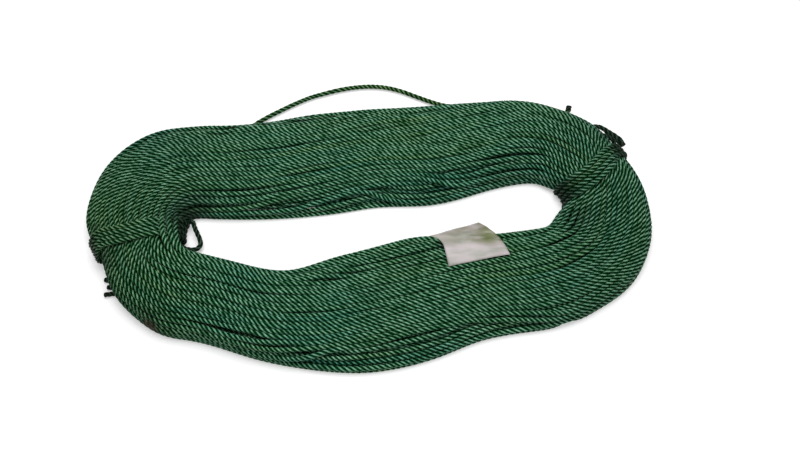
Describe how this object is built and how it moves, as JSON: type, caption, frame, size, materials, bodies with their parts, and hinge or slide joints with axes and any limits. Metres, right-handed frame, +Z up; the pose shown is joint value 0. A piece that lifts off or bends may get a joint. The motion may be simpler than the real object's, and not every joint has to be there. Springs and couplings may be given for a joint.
{
  "type": "hank of laid cord",
  "caption": "Flat oval hank of thin green laid cord, held by two cord ties, with a slack turn, cut tails and a blank paper label.",
  "frame": {"origin": "centre of the footprint of the whole hank, on the surface that it lies on", "axes": "+X along the long axis, from the tie with a bight in the eye towards the tie with a small loop outside; +Y towards the slack turn; +Z up"},
  "size_m": [0.4411, 0.2522, 0.0379],
  "materials": {
    "cord_inner": "laid synthetic cord in shade",
    "cord_outer": "laid synthetic cord, slightly shiny",
    "cord_loose": "laid synthetic cord, slightly shiny",
    "tie_cord": "laid synthetic cord, slightly shiny",
    "cut_ends": "laid synthetic cord with melted ends",
    "label_paper": "coated paper"
  },
  "bodies": {
    "root": {"inner_turns": "cord_inner", "outer_turns": "cord_outer", "loose_turn": "cord_loose", "left_tie": "tie_cord", "left_tie_bight": "tie_cord", "left_tie_tails": "cut_ends", "right_tie": "tie_cord", "right_tie_bight": "tie_cord", "right_tie_tails": "cut_ends", "label": "label_paper"}
  },
  "joints": []
}
